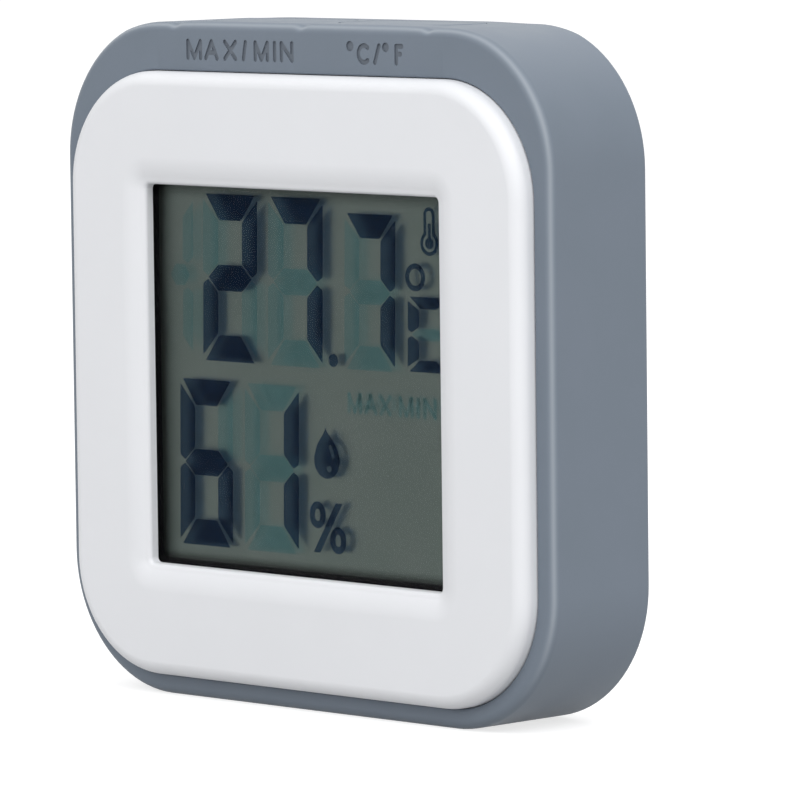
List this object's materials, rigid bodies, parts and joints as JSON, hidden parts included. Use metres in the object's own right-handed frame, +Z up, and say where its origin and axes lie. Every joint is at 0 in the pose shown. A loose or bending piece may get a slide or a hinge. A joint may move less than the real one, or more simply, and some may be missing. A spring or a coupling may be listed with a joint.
{
  "type": "temperature humidity sensor",
  "caption": "Small square temperature and humidity meter: white face with a liquid crystal display, grey silicone sleeve, two top keys and a coin-cell door.",
  "frame": {"origin": "on the standing surface, under the middle of the meter's width and depth", "axes": "-Y is the way the display faces, +Y is the battery door side, +X is the right of the face, +Z is up"},
  "size_m": [0.048, 0.013, 0.048],
  "materials": {
    "grey_silicone": "matt moulded silicone, slate grey",
    "white_plastic": "fine satin moulded plastic, white",
    "display_film": "smooth grey-green display film",
    "reflector_film": "grey-green reflective film",
    "glass": "clear glass",
    "strip_rubber": "layered contact rubber",
    "board_laminate": "green solder mask",
    "black_resin": "black moulded resin",
    "stem_plastic": "cream plastic",
    "bright_steel": "bright plated steel"
  },
  "bodies": {
    "case": {"silicone_sleeve": "grey_silicone", "front_bezel": "white_plastic", "rear_cover": "white_plastic", "front_polarizer": "display_film", "lcd_front_glass": "glass", "lcd_rear_glass": "glass", "lcd_reflector": "reflector_film", "lcd_holder": "white_plastic", "upper_contact_strip": "strip_rubber", "lower_contact_strip": "strip_rubber", "circuit_board": "board_laminate", "display_chip": "black_resin", "humidity_sensor": "black_resin", "timing_crystal": "bright_steel", "resistors": "black_resin", "cell_can": "bright_steel", "cell_seal": "black_resin", "cell_cap": "bright_steel", "negative_contact": "bright_steel", "positive_contact": "bright_steel", "case_screws": "bright_steel", "board_screws": "bright_steel", "max_min_switch": "black_resin", "unit_switch": "black_resin"},
    "max_min_key": {"max_min_pad": "grey_silicone", "max_min_plunger": "white_plastic", "max_min_switch_stem": "stem_plastic"},
    "unit_key": {"unit_pad": "grey_silicone", "unit_plunger": "white_plastic", "unit_switch_stem": "stem_plastic"},
    "door": {"battery_door": "white_plastic"}
  },
  "joints": [
    {"name": "max_min_press", "type": "slide", "parent": "case", "child": "max_min_key", "axis": [0, 0, -1], "range_m": [0, 0.0003], "stiffness_N_per_m": 1500},
    {"name": "unit_press", "type": "slide", "parent": "case", "child": "unit_key", "axis": [0, 0, -1], "range_m": [0, 0.0003], "stiffness_N_per_m": 1500},
    {"name": "door_turn", "type": "hinge", "parent": "case", "child": "door", "pos_m": [0, 0.00475, 0.02], "axis": [0, 1, 0], "range_deg": [0, 45]}
  ]
}
